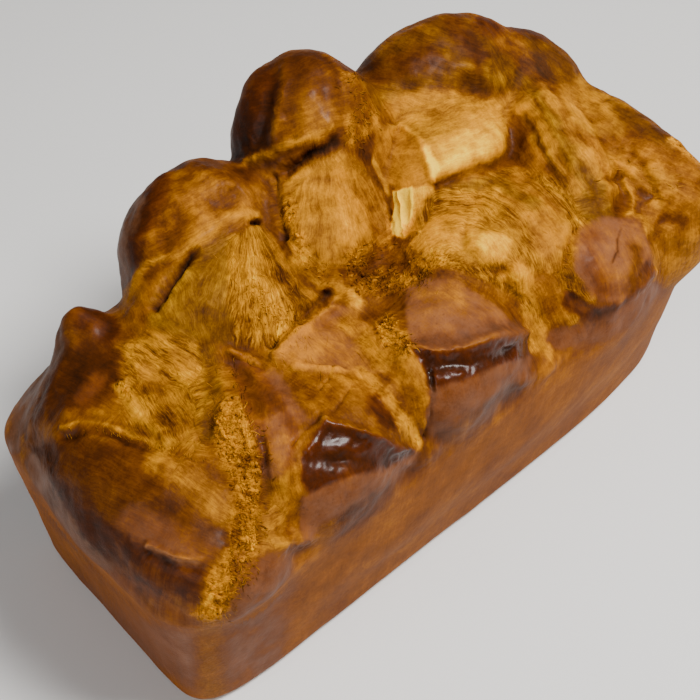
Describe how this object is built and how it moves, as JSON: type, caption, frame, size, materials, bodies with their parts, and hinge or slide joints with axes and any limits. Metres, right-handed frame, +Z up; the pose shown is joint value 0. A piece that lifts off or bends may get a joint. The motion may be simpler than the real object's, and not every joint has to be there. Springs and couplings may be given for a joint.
{
  "type": "brioche loaf",
  "caption": "Tin-baked brioche loaf with straight tapered walls and a tall crown of bulging crust lobes and torn strands.",
  "frame": {"origin": "on the base, under the middle of the loaf's bounding box", "axes": "+X along the loaf, +Z up from the flat base, +Y towards the long side where the taller lobes lean out"},
  "size_m": [0.2654, 0.1368, 0.1427],
  "materials": {
    "crust": "egg-washed baked crust, glossy dark brown on the lobes, matte golden and fibrous where the dough tore"
  },
  "bodies": {
    "root": {"loaf": "crust"}
  },
  "joints": []
}
